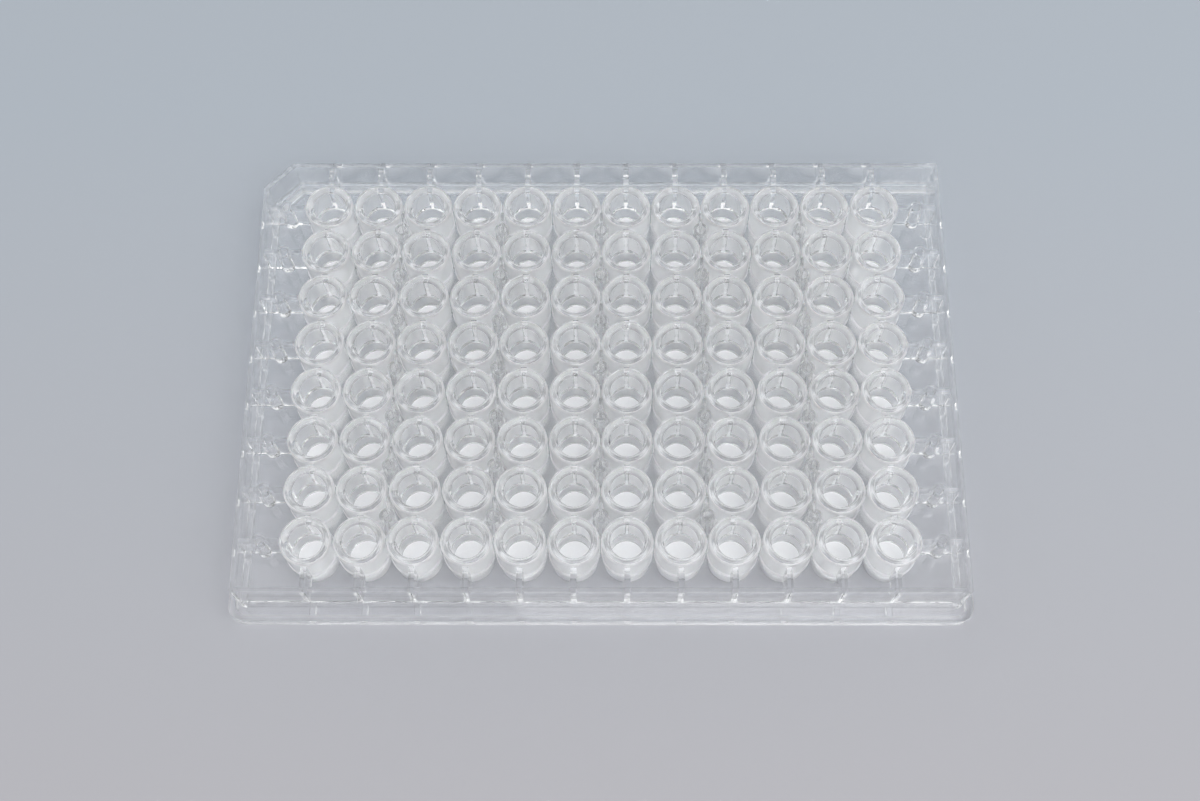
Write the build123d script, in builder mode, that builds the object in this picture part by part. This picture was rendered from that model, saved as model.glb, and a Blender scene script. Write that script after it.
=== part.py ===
"""Clear 96-well filter plate: one moulded body and 96 white membrane discs, one in the foot of each well.

The frame stands on the lip's lower edge: +Z up, origin at the bottom centre, X along the twelve columns,
Y along the eight rows, with row A at +Y and column 1 at -X. Sizes are in millimetres.
"""

from build123d import *

import os

# Footprint and heights
plate_length = 127.76
plate_width = 85.48
plate_height = 13.0
corner_radius = 2.8
a1_cut = 6.3

# Well grid
columns = 12
rows = 8
pitch = 9.0

# Lip that the plate stands on, the ledge from it to the wall, and the gussets under the ledge
lip_height = 2.8
lip_thickness = 1.2
ledge_thickness = 1.0
gusset_lift = 0.5

# Upright wall round the wells
wall_inset = 2.3
wall_thickness = 0.9

# Deck that joins the well tubes to the wall
deck_depth = 6.2
deck_thickness = 1.1

# Well tubes: tapered outside and inside, with a rounded rim and a rounded mouth
rim_radius = 4.38
tube_foot_radius = 4.05
foot_lift = 1.1
mouth_radius = 2.92
bore_foot_radius = 2.9
rim_round = 0.4
mouth_round = 0.55
foot_round = 0.3

# Membrane disc and its seat, a shoulder that faces down, with the weld's thickness between them
seat_depth = 10.2
seat_clearance = 0.05
membrane_radius = 3.65
membrane_thickness = 0.4
weld_thickness = 0.05

# Ribs along every row and every column, from wall to wall
rib_thickness = 1.0
rib_drop = 0.4

# Hollow round posts: between the tubes, and on the ribs at both ends of each row
post_radius = 1.3
post_bore_radius = 0.8
post_bore_depth = 3.0
post_columns = 5

# Web through each post between the tubes, as far as the tubes on both sides
web_thickness = 0.6
web_length = 6.8

# Round moulding mark on the deck, in from the plate's end and on from row A's axis towards row B
mark_inset = 4.28
mark_offset = 2.7
mark_radius = 0.8
mark_height = 0.3
mark_round = 0.15

# Heights above the surface the plate stands on
deck_top = plate_height - deck_depth
deck_bottom = deck_top - deck_thickness
rib_top = plate_height - rib_drop
ledge_bottom = lip_height - ledge_thickness
seat_height = plate_height - seat_depth
seat_radius = membrane_radius + seat_clearance
membrane_bottom = seat_height - weld_thickness - membrane_thickness

# Plan sizes that follow from the ones above
wall_inner_inset = wall_inset + wall_thickness
rib_end_inset = wall_inset + wall_thickness / 2
rib_end_x = plate_length / 2 - rib_end_inset
rib_end_y = plate_width / 2 - rib_end_inset
end_well_x = (columns - 1) / 2 * pitch
end_well_y = (rows - 1) / 2 * pitch
wall_inner_x = plate_length / 2 - wall_inner_inset
end_post_x = (end_well_x + rim_radius + wall_inner_x) / 2
mark_x = plate_length / 2 - mark_inset
mark_y = end_well_y - mark_offset
gusset_end_x = plate_length / 2 - lip_thickness / 2
gusset_end_y = plate_width / 2 - lip_thickness / 2


def outline(inset):
    """The plate's outline drawn in by inset: the corner by well A1 is cut at 45 degrees, the others rounded."""
    with BuildSketch() as shape:
        Rectangle(plate_length - 2 * inset, plate_width - 2 * inset)
        corners = shape.vertices().sort_by(Axis((0, 0, 0), (-1, 1, 0)))
        chamfer(corners[-1], a1_cut - inset * (2 - 2**0.5))
        if corner_radius > inset:
            fillet(corners[:-1], corner_radius - inset)
    return shape.sketch


def well_places():
    """One place at the axis of each well."""
    return GridLocations(pitch, pitch, columns, rows)


with BuildPart() as tube_blank:
    with BuildSketch(Plane.XZ) as tube_profile:
        with BuildLine():
            Polyline(
                (0, foot_lift),
                (tube_foot_radius, foot_lift),
                (rim_radius, plate_height),
                (0, plate_height),
                close=True,
            )
        make_face()
        outer_corners = tube_profile.vertices().group_by(Axis.X)
        fillet(outer_corners[-1], rim_round)
        fillet(outer_corners[-2], foot_round)
    revolve(axis=Axis.Z)

with BuildPart() as bore_cutter:
    with BuildSketch(Plane.XZ):
        with BuildLine():
            Polyline(
                (0, seat_height),
                (bore_foot_radius, seat_height),
                (mouth_radius, plate_height - mouth_round),
            )
            RadiusArc(
                (mouth_radius, plate_height - mouth_round),
                (mouth_radius + mouth_round, plate_height),
                mouth_round,
            )
            Polyline(
                (mouth_radius + mouth_round, plate_height),
                (0, plate_height),
                (0, seat_height),
            )
        make_face()
    revolve(axis=Axis.Z)

with BuildPart() as seat_cutter:
    with BuildSketch(Plane.XY.offset(foot_lift)):
        Circle(seat_radius)
    extrude(amount=seat_height - foot_lift)

with BuildPart() as plate:
    # Lip and ledge
    with BuildSketch():
        add(outline(0))
        add(outline(lip_thickness), mode=Mode.SUBTRACT)
    extrude(amount=lip_height)
    with BuildSketch(Plane.XY.offset(ledge_bottom)):
        add(outline(0))
        add(outline(wall_inner_inset), mode=Mode.SUBTRACT)
    extrude(amount=ledge_thickness)

    # Wall
    with BuildSketch(Plane.XY.offset(ledge_bottom)):
        add(outline(wall_inset))
        add(outline(wall_inner_inset), mode=Mode.SUBTRACT)
    extrude(amount=plate_height - ledge_bottom)

    # Deck
    with BuildSketch(Plane.XY.offset(deck_bottom)):
        add(outline(rib_end_inset))
    extrude(amount=deck_thickness)

    # Ribs, posts and webs above the deck
    with BuildSketch(Plane.XY.offset(deck_top)):
        with GridLocations(0, pitch, 1, rows):
            Rectangle(2 * rib_end_x, rib_thickness)
        with GridLocations(pitch, 0, columns, 1):
            Rectangle(rib_thickness, 2 * rib_end_y)
        with GridLocations(2 * pitch, pitch, post_columns, rows - 1):
            Circle(post_radius)
            Rectangle(web_thickness, web_length)
        with GridLocations(2 * end_post_x, pitch, 2, rows):
            Circle(post_radius)
    extrude(amount=rib_top - deck_top)

    # Gussets below the ledge, from under the wall to the lip, in line with the ribs
    with BuildSketch(Plane.XY.offset(gusset_lift)):
        with GridLocations(rib_end_x + gusset_end_x, pitch, 2, rows):
            Rectangle(gusset_end_x - rib_end_x, rib_thickness)
        with GridLocations(pitch, rib_end_y + gusset_end_y, columns, 2):
            Rectangle(rib_thickness, gusset_end_y - rib_end_y)
    extrude(amount=ledge_bottom - gusset_lift)

    # Moulding mark
    with BuildSketch(Plane.XY.offset(deck_top)):
        with Locations((mark_x, mark_y)):
            Circle(mark_radius)
    extrude(amount=mark_height)
    mark_rim = plate.edges().filter_by(GeomType.CIRCLE).filter_by_position(
        Axis.Z, deck_top + mark_height - 0.01, deck_top + mark_height + 0.01
    )
    fillet(mark_rim, mark_round)

    # Well tubes with their bores and membrane seats
    with well_places():
        add(tube_blank.part)
    with well_places():
        add(bore_cutter.part, mode=Mode.SUBTRACT)
    with well_places():
        add(seat_cutter.part, mode=Mode.SUBTRACT)

    # Bores of the posts
    with BuildSketch(Plane.XY.offset(rib_top)):
        with GridLocations(2 * pitch, pitch, post_columns, rows - 1):
            Circle(post_bore_radius)
        with GridLocations(2 * end_post_x, pitch, 2, rows):
            Circle(post_bore_radius)
    extrude(amount=-post_bore_depth, mode=Mode.SUBTRACT)

os.makedirs("parts", exist_ok=True)

plate.part.label = "plate"
export_step(plate.part, "parts/plate.step")

for row in range(rows):
    row_y = end_well_y - row * pitch
    with BuildPart() as membranes:
        with BuildSketch(Plane((0, row_y, membrane_bottom))):
            with GridLocations(pitch, 0, columns, 1):
                Circle(membrane_radius)
        extrude(amount=membrane_thickness)
    membranes.part.label = "membranes_row_" + "abcdefgh"[row]
    export_step(membranes.part, "parts/" + membranes.part.label + ".step")
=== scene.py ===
"""Clear filter well plate on a pale floor. All lengths are in metres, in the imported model's frame."""

import math

import bpy
from mathutils import Matrix, Vector


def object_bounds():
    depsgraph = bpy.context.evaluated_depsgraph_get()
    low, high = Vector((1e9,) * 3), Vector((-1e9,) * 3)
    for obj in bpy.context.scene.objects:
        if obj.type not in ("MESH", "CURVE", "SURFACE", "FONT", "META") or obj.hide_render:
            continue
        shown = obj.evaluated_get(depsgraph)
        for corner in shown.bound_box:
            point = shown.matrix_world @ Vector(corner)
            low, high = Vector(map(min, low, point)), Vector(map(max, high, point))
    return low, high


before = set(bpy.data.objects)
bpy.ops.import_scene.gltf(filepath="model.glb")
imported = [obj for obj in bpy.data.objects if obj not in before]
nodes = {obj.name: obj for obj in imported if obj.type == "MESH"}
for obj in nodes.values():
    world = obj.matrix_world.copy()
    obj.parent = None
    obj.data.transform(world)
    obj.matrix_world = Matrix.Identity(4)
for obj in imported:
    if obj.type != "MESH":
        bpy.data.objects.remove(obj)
cad_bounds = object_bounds()

# Camera, measured from the centre of the plate's top face
CAMERA_OFFSET = Vector((0.0016, -0.1060, 0.2557))
CAMERA_PITCH = math.radians(68.7)
CAMERA_YAW = math.radians(-1.0)
CAMERA_ROLL = math.radians(-0.91)
CAMERA_LENS = 47.6
CAMERA_SENSOR = 36.0
CAMERA_CLIP_START = 0.01

# Floor: pale grey card with painted light: cooler behind the plate and warmer in front of it, standing in
# for cool light from behind and warm light from the front.
# The gap keeps it clear of the lip's lower edge, since faces that coincide render dark.
FLOOR_HALF = 5.0
FLOOR_GAP = 0.0001
FLOOR_BACK_PAINTED_COOL_LIGHT = (0.402, 0.440, 0.485)
FLOOR_FRONT_PAINTED_WARM_LIGHT = (0.432, 0.425, 0.448)
PAINTED_COOL_LIGHT_Y = 0.06
PAINTED_WARM_LIGHT_Y = -0.08
FLOOR_ROUGHNESS = 0.8
FLOOR_SPECULAR = 0.2

# Clear polystyrene, with faint flow marks and an almost even polish. Scales are in features a metre.
PLASTIC_IOR = 1.59
PLASTIC_TINT = (0.999, 1.0, 1.0)
PLASTIC_TINT_THICK = (0.994, 0.997, 1.0)
PLASTIC_ROUGHNESS = (0.0, 0.015)
FLOW_SCALE = 120.0
FLOW_DETAIL = 3.0
FLOW_STRETCH = (1.0, 1.0, 0.4)
FLOW_STRENGTH = 0.004
FLOW_DEPTH = 0.0001
POLISH_SCALE = 900.0
POLISH_DETAIL = 2.0

# The well grid, which the haze follows
PITCH = 0.009
COLUMNS = 12
ROWS = 8

# Haze of the well tubes: the shares of the pitch from a well's axis over which it starts and ends,
# and how clear and how rough the plastic is where it is full. The haze is partly the plastic's real
# milkiness
# and partly painted light: its white diffuse share stands in for the glow piped up the tube walls from the
# white membranes
TUBE_INNER = (0.3, 0.46)
TUBE_OUTER = (0.49, 0.5)
TUBE_CLEARNESS = 0.85
TUBE_ROUGHNESS = 0.3

# Fainter haze between the tubes, which fades out over this share of the pitch past the grid.
# Its white diffuse share is partly real haze and partly painted light, lifting the dark shade seen through
# the posts and ribs
FIELD_HAZE_AND_PAINTED_LIGHT = 0.7
FIELD_FADE = 0.5

# Scuffed lower edge of the lip: the scuff fades out at this height
SCUFF_HEIGHT = 0.0003
SCUFF_ROUGHNESS = 0.3

# Membrane: white, matt, with a fine fibre texture
MEMBRANE_LIGHT = (0.885, 0.89, 0.90)
MEMBRANE_DARK = (0.83, 0.835, 0.85)
MEMBRANE_ROUGHNESS = 0.9
MEMBRANE_SPECULAR = 0.3
FIBRE_SCALE = 5200.0
FIBRE_DETAIL = 4.0
FIBRE_STRETCH = (1.0, 2.2, 1.0)
FIBRE_STRENGTH = 0.4
FIBRE_DEPTH = 0.00005

# Light: an even, slightly cool sky and one large soft lamp in front of the plate, aimed at its centre
WORLD_COLOR = (0.975, 0.985, 1.0)
WORLD_STRENGTH = 0.81
KEY_PLACE = (0.3, -0.42, 0.85)
KEY_AIM = (0.0, 0.0, 0.0)
KEY_SIZE = (1.1, 0.75)
KEY_POWER = 4.6

# A path through a row of clear tubes crosses many faces
CLEAR_BOUNCES = 48
DIFFUSE_BOUNCES = 8


def new_material(name):
    """A material with an empty node tree, and its tree."""
    material = bpy.data.materials.new(name)
    material.use_nodes = True
    tree = material.node_tree
    tree.nodes.clear()
    return material, tree


def add_shader(tree, **inputs):
    """A Principled BSDF with these inputs, wired to the output."""
    output = tree.nodes.new("ShaderNodeOutputMaterial")
    principled = tree.nodes.new("ShaderNodeBsdfPrincipled")
    for name, value in inputs.items():
        principled.inputs[name.replace("_", " ")].default_value = value
    tree.links.new(principled.outputs["BSDF"], output.inputs["Surface"])
    return principled


def add_place(tree):
    """The point being shaded, in object space."""
    return tree.nodes.new("ShaderNodeTexCoord").outputs["Object"]


def add_split(tree, vector):
    """The X, Y and Z of a vector, as the outputs of a node."""
    split = tree.nodes.new("ShaderNodeSeparateXYZ")
    tree.links.new(vector, split.inputs[0])
    return split.outputs


def add_noise(tree, scale, detail, stretch=(1, 1, 1)):
    """The factor of a noise texture in object space, scale in features a metre."""
    mapping = tree.nodes.new("ShaderNodeMapping")
    mapping.inputs["Scale"].default_value = stretch
    noise = tree.nodes.new("ShaderNodeTexNoise")
    noise.inputs["Scale"].default_value = scale
    noise.inputs["Detail"].default_value = detail
    tree.links.new(add_place(tree), mapping.inputs["Vector"])
    tree.links.new(mapping.outputs["Vector"], noise.inputs["Vector"])
    return noise.outputs["Fac"]


def add_range(tree, factor, low, high, from_low=0.35, from_high=0.65):
    """The factor carried from one range to another. The first range defaults to most of a noise's values."""
    ranged = tree.nodes.new("ShaderNodeMapRange")
    ranged.inputs["From Min"].default_value = from_low
    ranged.inputs["From Max"].default_value = from_high
    ranged.inputs["To Min"].default_value = low
    ranged.inputs["To Max"].default_value = high
    tree.links.new(factor, ranged.inputs["Value"])
    return ranged.outputs["Result"]


def add_mix(tree, factor, first, second):
    """A colour between first and second."""
    mix = tree.nodes.new("ShaderNodeMix")
    mix.data_type = "RGBA"
    mix.inputs["A"].default_value = (*first, 1.0)
    mix.inputs["B"].default_value = (*second, 1.0)
    tree.links.new(factor, mix.inputs["Factor"])
    return mix.outputs["Result"]


def add_math(tree, operation, first, second):
    """A Math node of first and second, each a socket or a number."""
    node = tree.nodes.new("ShaderNodeMath")
    node.operation = operation
    for place, value in zip(node.inputs, (first, second)):
        if isinstance(value, bpy.types.NodeSocket):
            tree.links.new(value, place)
        else:
            place.default_value = value
    return node.outputs[0]


def add_vector_math(tree, operation, vector, second=None):
    """A Vector Math node of vector and, where it takes one, a second vector."""
    node = tree.nodes.new("ShaderNodeVectorMath")
    node.operation = operation
    tree.links.new(vector, node.inputs[0])
    if second is not None:
        node.inputs[1].default_value = second
    return node.outputs["Value" if operation == "LENGTH" else "Vector"]


def add_bump(tree, height, strength, depth, principled):
    """Relief on the shader's surface, depth in metres."""
    bump = tree.nodes.new("ShaderNodeBump")
    bump.inputs["Strength"].default_value = strength
    bump.inputs["Distance"].default_value = depth
    tree.links.new(height, bump.inputs["Height"])
    tree.links.new(bump.outputs["Normal"], principled.inputs["Normal"])


def add_past_grid(tree, cell):
    """How far a point lies past the outermost cells of the well grid, in pitches, and below 0 inside it."""
    across = add_split(tree, add_vector_math(tree, "ABSOLUTE", cell))
    past_columns = add_math(tree, "SUBTRACT", across["X"], COLUMNS / 2)
    past_rows = add_math(tree, "SUBTRACT", across["Y"], ROWS / 2)
    return add_math(tree, "MAXIMUM", past_columns, past_rows)


def add_axis_distance(tree, cell):
    """The distance to the axis of the cell's own well, in pitches."""
    within = add_vector_math(tree, "FRACTION", cell)
    from_axis = add_vector_math(tree, "SUBTRACT", within, (0.5, 0.5, 0))
    return add_vector_math(tree, "LENGTH", from_axis)


def add_well_haze_and_painted_glow(tree):
    """Haze from 0 to 1: full on the tubes' rims and walls, fainter between them, none beyond the grid. Its
    white diffuse share is partly real milky plastic and partly painted light: glow piped from the membranes
    on the tubes, lifted shade between them.
    """
    cell = add_vector_math(tree, "MULTIPLY", add_place(tree), (1 / PITCH, 1 / PITCH, 0))
    past = add_past_grid(tree, cell)
    radius = add_axis_distance(tree, cell)
    outside_bore = add_range(tree, radius, 0.0, 1.0, *TUBE_INNER)
    inside_tube = add_range(tree, radius, 1.0, 0.0, *TUBE_OUTER)
    inside_grid = add_math(tree, "LESS_THAN", past, 0.0)
    wall = add_math(tree, "MULTIPLY", outside_bore, inside_tube)
    tube = add_math(tree, "MULTIPLY", wall, inside_grid)
    # Between the tubes the white share is partly painted light that lifts dark shade
    between = add_range(tree, past, FIELD_HAZE_AND_PAINTED_LIGHT, 0.0, -FIELD_FADE, 0.0)
    field = add_math(tree, "MULTIPLY", outside_bore, between)
    return add_math(tree, "MAXIMUM", tube, field)


def add_scuff(tree):
    """The scuff's roughness on the lip's lower edge, and 0 above it."""
    height = add_split(tree, add_place(tree))["Z"]
    return add_range(tree, height, SCUFF_ROUGHNESS, 0.0, 0.0, SCUFF_HEIGHT)


def clear_plastic():
    """Clear polystyrene: polished, with faint flow marks, and hazier on the well tubes, where the haze's
    white is partly painted light piped from the membranes.
    """
    material, tree = new_material("clear_plastic")
    principled = add_shader(tree, IOR=PLASTIC_IOR)
    flow = add_noise(tree, FLOW_SCALE, FLOW_DETAIL, FLOW_STRETCH)
    polish = add_noise(tree, POLISH_SCALE, POLISH_DETAIL)
    # The haze's white diffuse share is partly real milkiness and partly painted light: glow on the tubes,
    # lifted shade between them
    haze_and_painted_glow = add_well_haze_and_painted_glow(tree)
    tint = add_mix(tree, add_range(tree, flow, 0.0, 1.0), PLASTIC_TINT, PLASTIC_TINT_THICK)
    clearness = add_range(tree, haze_and_painted_glow, 1.0, TUBE_CLEARNESS, 0.0, 1.0)
    roughness = add_math(tree, "MULTIPLY", haze_and_painted_glow, TUBE_ROUGHNESS)
    roughness = add_math(tree, "ADD", roughness, add_range(tree, polish, *PLASTIC_ROUGHNESS))
    roughness = add_math(tree, "MAXIMUM", roughness, add_scuff(tree))
    tree.links.new(tint, principled.inputs["Base Color"])
    tree.links.new(clearness, principled.inputs["Transmission Weight"])
    tree.links.new(roughness, principled.inputs["Roughness"])
    add_bump(tree, flow, FLOW_STRENGTH, FLOW_DEPTH, principled)
    return material


def membrane():
    """White filter membrane: fine fibres, matt."""
    material, tree = new_material("membrane")
    principled = add_shader(tree, Roughness=MEMBRANE_ROUGHNESS, Specular_IOR_Level=MEMBRANE_SPECULAR)
    fibres = add_noise(tree, FIBRE_SCALE, FIBRE_DETAIL, FIBRE_STRETCH)
    tint = add_mix(tree, add_range(tree, fibres, 0.0, 1.0), MEMBRANE_DARK, MEMBRANE_LIGHT)
    tree.links.new(tint, principled.inputs["Base Color"])
    add_bump(tree, fibres, FIBRE_STRENGTH, FIBRE_DEPTH, principled)
    return material


def floor_card_with_painted_light():
    """Pale grey card, whose colour turns from cool behind the plate to warm in front of it: painted cool and
    warm light.
    """
    material, tree = new_material("floor")
    principled = add_shader(tree, Roughness=FLOOR_ROUGHNESS, Specular_IOR_Level=FLOOR_SPECULAR)
    # Painted light: cool colour behind the plate, warm colour in front of it
    across = add_range(tree, add_split(tree, add_place(tree))["Y"], 0.0, 1.0, PAINTED_COOL_LIGHT_Y, PAINTED_WARM_LIGHT_Y)
    tree.links.new(add_mix(tree, across, FLOOR_BACK_PAINTED_COOL_LIGHT, FLOOR_FRONT_PAINTED_WARM_LIGHT), principled.inputs["Base Color"])
    return material


def dress(node, material):
    """Give a CAD node its one material."""
    node.data.materials.clear()
    node.data.materials.append(material)


def make_floor():
    """The floor that the plate stands on."""
    bpy.ops.mesh.primitive_plane_add(size=2 * FLOOR_HALF, location=(0, 0, -FLOOR_GAP))
    floor = bpy.context.object
    floor.name = "floor"
    floor.data.materials.append(floor_card_with_painted_light())


def make_world():
    """The even sky."""
    world = bpy.data.worlds.new("studio")
    bpy.context.scene.world = world
    world.use_nodes = True
    background = world.node_tree.nodes["Background"]
    background.inputs["Color"].default_value = (*WORLD_COLOR, 1.0)
    background.inputs["Strength"].default_value = WORLD_STRENGTH


def make_key():
    """The soft lamp."""
    data = bpy.data.lights.new("key", "AREA")
    data.shape = "RECTANGLE"
    data.size, data.size_y = KEY_SIZE
    data.energy = KEY_POWER
    lamp = bpy.data.objects.new("key", data)
    lamp.location = KEY_PLACE
    lamp.rotation_euler = (Vector(KEY_AIM) - Vector(KEY_PLACE)).to_track_quat("-Z", "Y").to_euler()
    bpy.context.scene.collection.objects.link(lamp)


def camera_rotation():
    """The camera's rotation: it looks along +Y, turned by the yaw and down by the pitch, then rolls."""
    pitch_cos, pitch_sin = math.cos(CAMERA_PITCH), math.sin(CAMERA_PITCH)
    yaw_cos, yaw_sin = math.cos(CAMERA_YAW), math.sin(CAMERA_YAW)
    roll_cos, roll_sin = math.cos(CAMERA_ROLL), math.sin(CAMERA_ROLL)
    ahead = Vector((pitch_cos * yaw_sin, pitch_cos * yaw_cos, -pitch_sin))
    level = Vector((yaw_cos, -yaw_sin, 0.0))
    up = level.cross(ahead)
    right = roll_cos * level + roll_sin * up
    top = -roll_sin * level + roll_cos * up
    return Matrix((right, top, -ahead)).transposed().to_euler()


def make_camera():
    """The camera, at the photograph's viewing angle."""
    low, high = cad_bounds
    top_centre = Vector(((low[0] + high[0]) / 2, (low[1] + high[1]) / 2, high[2]))
    data = bpy.data.cameras.new("camera")
    data.lens = CAMERA_LENS
    data.sensor_width = CAMERA_SENSOR
    data.clip_start = CAMERA_CLIP_START
    camera = bpy.data.objects.new("camera", data)
    camera.location = top_centre + CAMERA_OFFSET
    camera.rotation_euler = camera_rotation()
    bpy.context.scene.collection.objects.link(camera)
    bpy.context.scene.camera = camera


plastic = clear_plastic()
white = membrane()
for name, node in nodes.items():
    dress(node, plastic if name == "plate" else white)
make_floor()
make_world()
make_key()
make_camera()

scene = bpy.context.scene
scene.view_settings.view_transform = "Standard"
scene.cycles.max_bounces = CLEAR_BOUNCES
scene.cycles.diffuse_bounces = DIFFUSE_BOUNCES
scene.cycles.glossy_bounces = CLEAR_BOUNCES
scene.cycles.transmission_bounces = CLEAR_BOUNCES
scene.cycles.blur_glossy = 0.0
